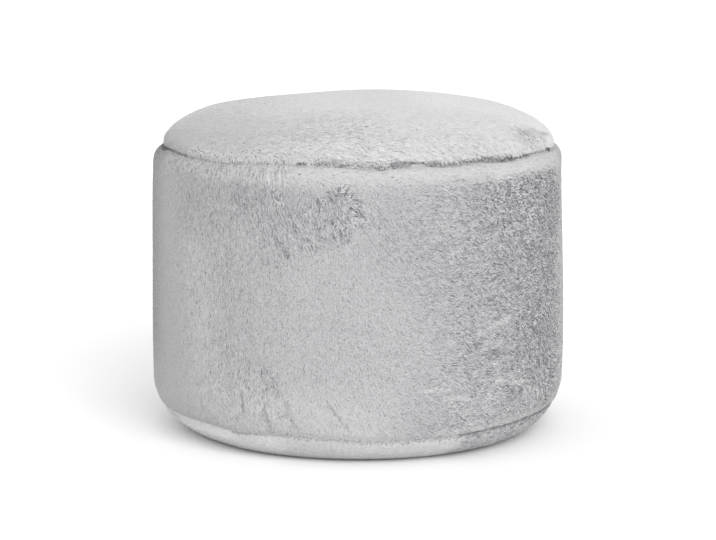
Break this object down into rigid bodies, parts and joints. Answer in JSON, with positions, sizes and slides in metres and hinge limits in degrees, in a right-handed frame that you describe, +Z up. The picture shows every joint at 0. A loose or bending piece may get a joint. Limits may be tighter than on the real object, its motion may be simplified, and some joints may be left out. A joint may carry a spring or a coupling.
{
  "type": "round faux fur pouf",
  "caption": "Round pouf in short light grey faux fur: a straight drum with a domed top and a softly rounded base.",
  "frame": {"origin": "on the floor, under the middle of the pouf", "axes": "+Z up along the axis of the drum; -Y is the front, the side that was seen; +X to the right of someone facing the front"},
  "size_m": [0.5012, 0.5006, 0.4028],
  "materials": {
    "faux_fur": "short dense faux fur, brushed smooth in places and ruffled in others, light grey"
  },
  "bodies": {
    "root": {"top_panel": "faux_fur", "side_panel": "faux_fur", "base_panel": "faux_fur"}
  },
  "joints": []
}
